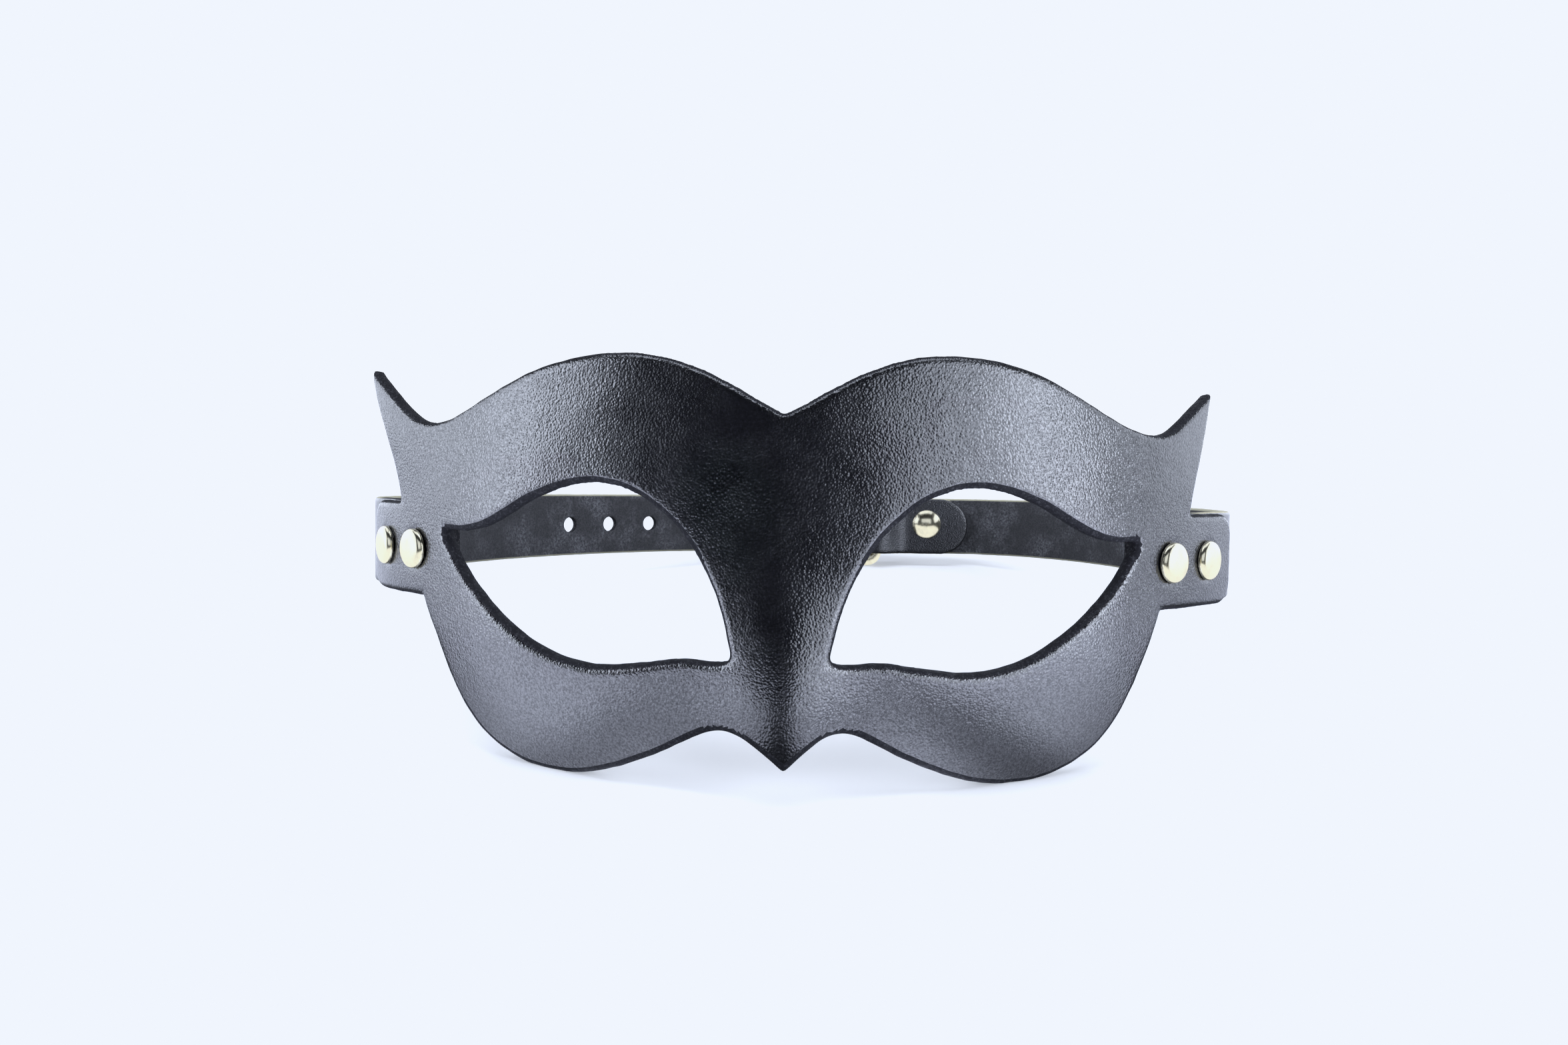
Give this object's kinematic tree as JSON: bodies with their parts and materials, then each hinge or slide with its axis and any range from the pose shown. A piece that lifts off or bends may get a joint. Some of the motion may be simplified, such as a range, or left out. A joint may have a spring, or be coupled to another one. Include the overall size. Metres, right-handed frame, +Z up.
{
  "type": "leather eye mask",
  "caption": "Formed black leather eye mask with ear points and cheek lobes, riveted to a buckled leather strap loop, standing on its lobes and buckle.",
  "frame": {"origin": "middle of the footprint, on the surface that the mask stands on", "axes": "+Z up, -Y out of the front of the mask, +X to the right as seen from the front"},
  "size_m": [0.2022, 0.1906, 0.0789],
  "materials": {
    "face_leather": "black pebbled grain, semi-matt, with burnished edges",
    "strap_leather": "black smooth grain outside, mottled dark grey flesh side inside",
    "brass": "polished pale gold"
  },
  "bodies": {
    "root": {"mask_face": "face_leather", "strap_holed": "strap_leather", "strap_folded": "strap_leather", "buckle": "brass", "rivet_left_outer": "brass", "rivet_left_inner": "brass", "rivet_right_outer": "brass", "rivet_right_inner": "brass", "rivet_fold": "brass"}
  },
  "joints": []
}
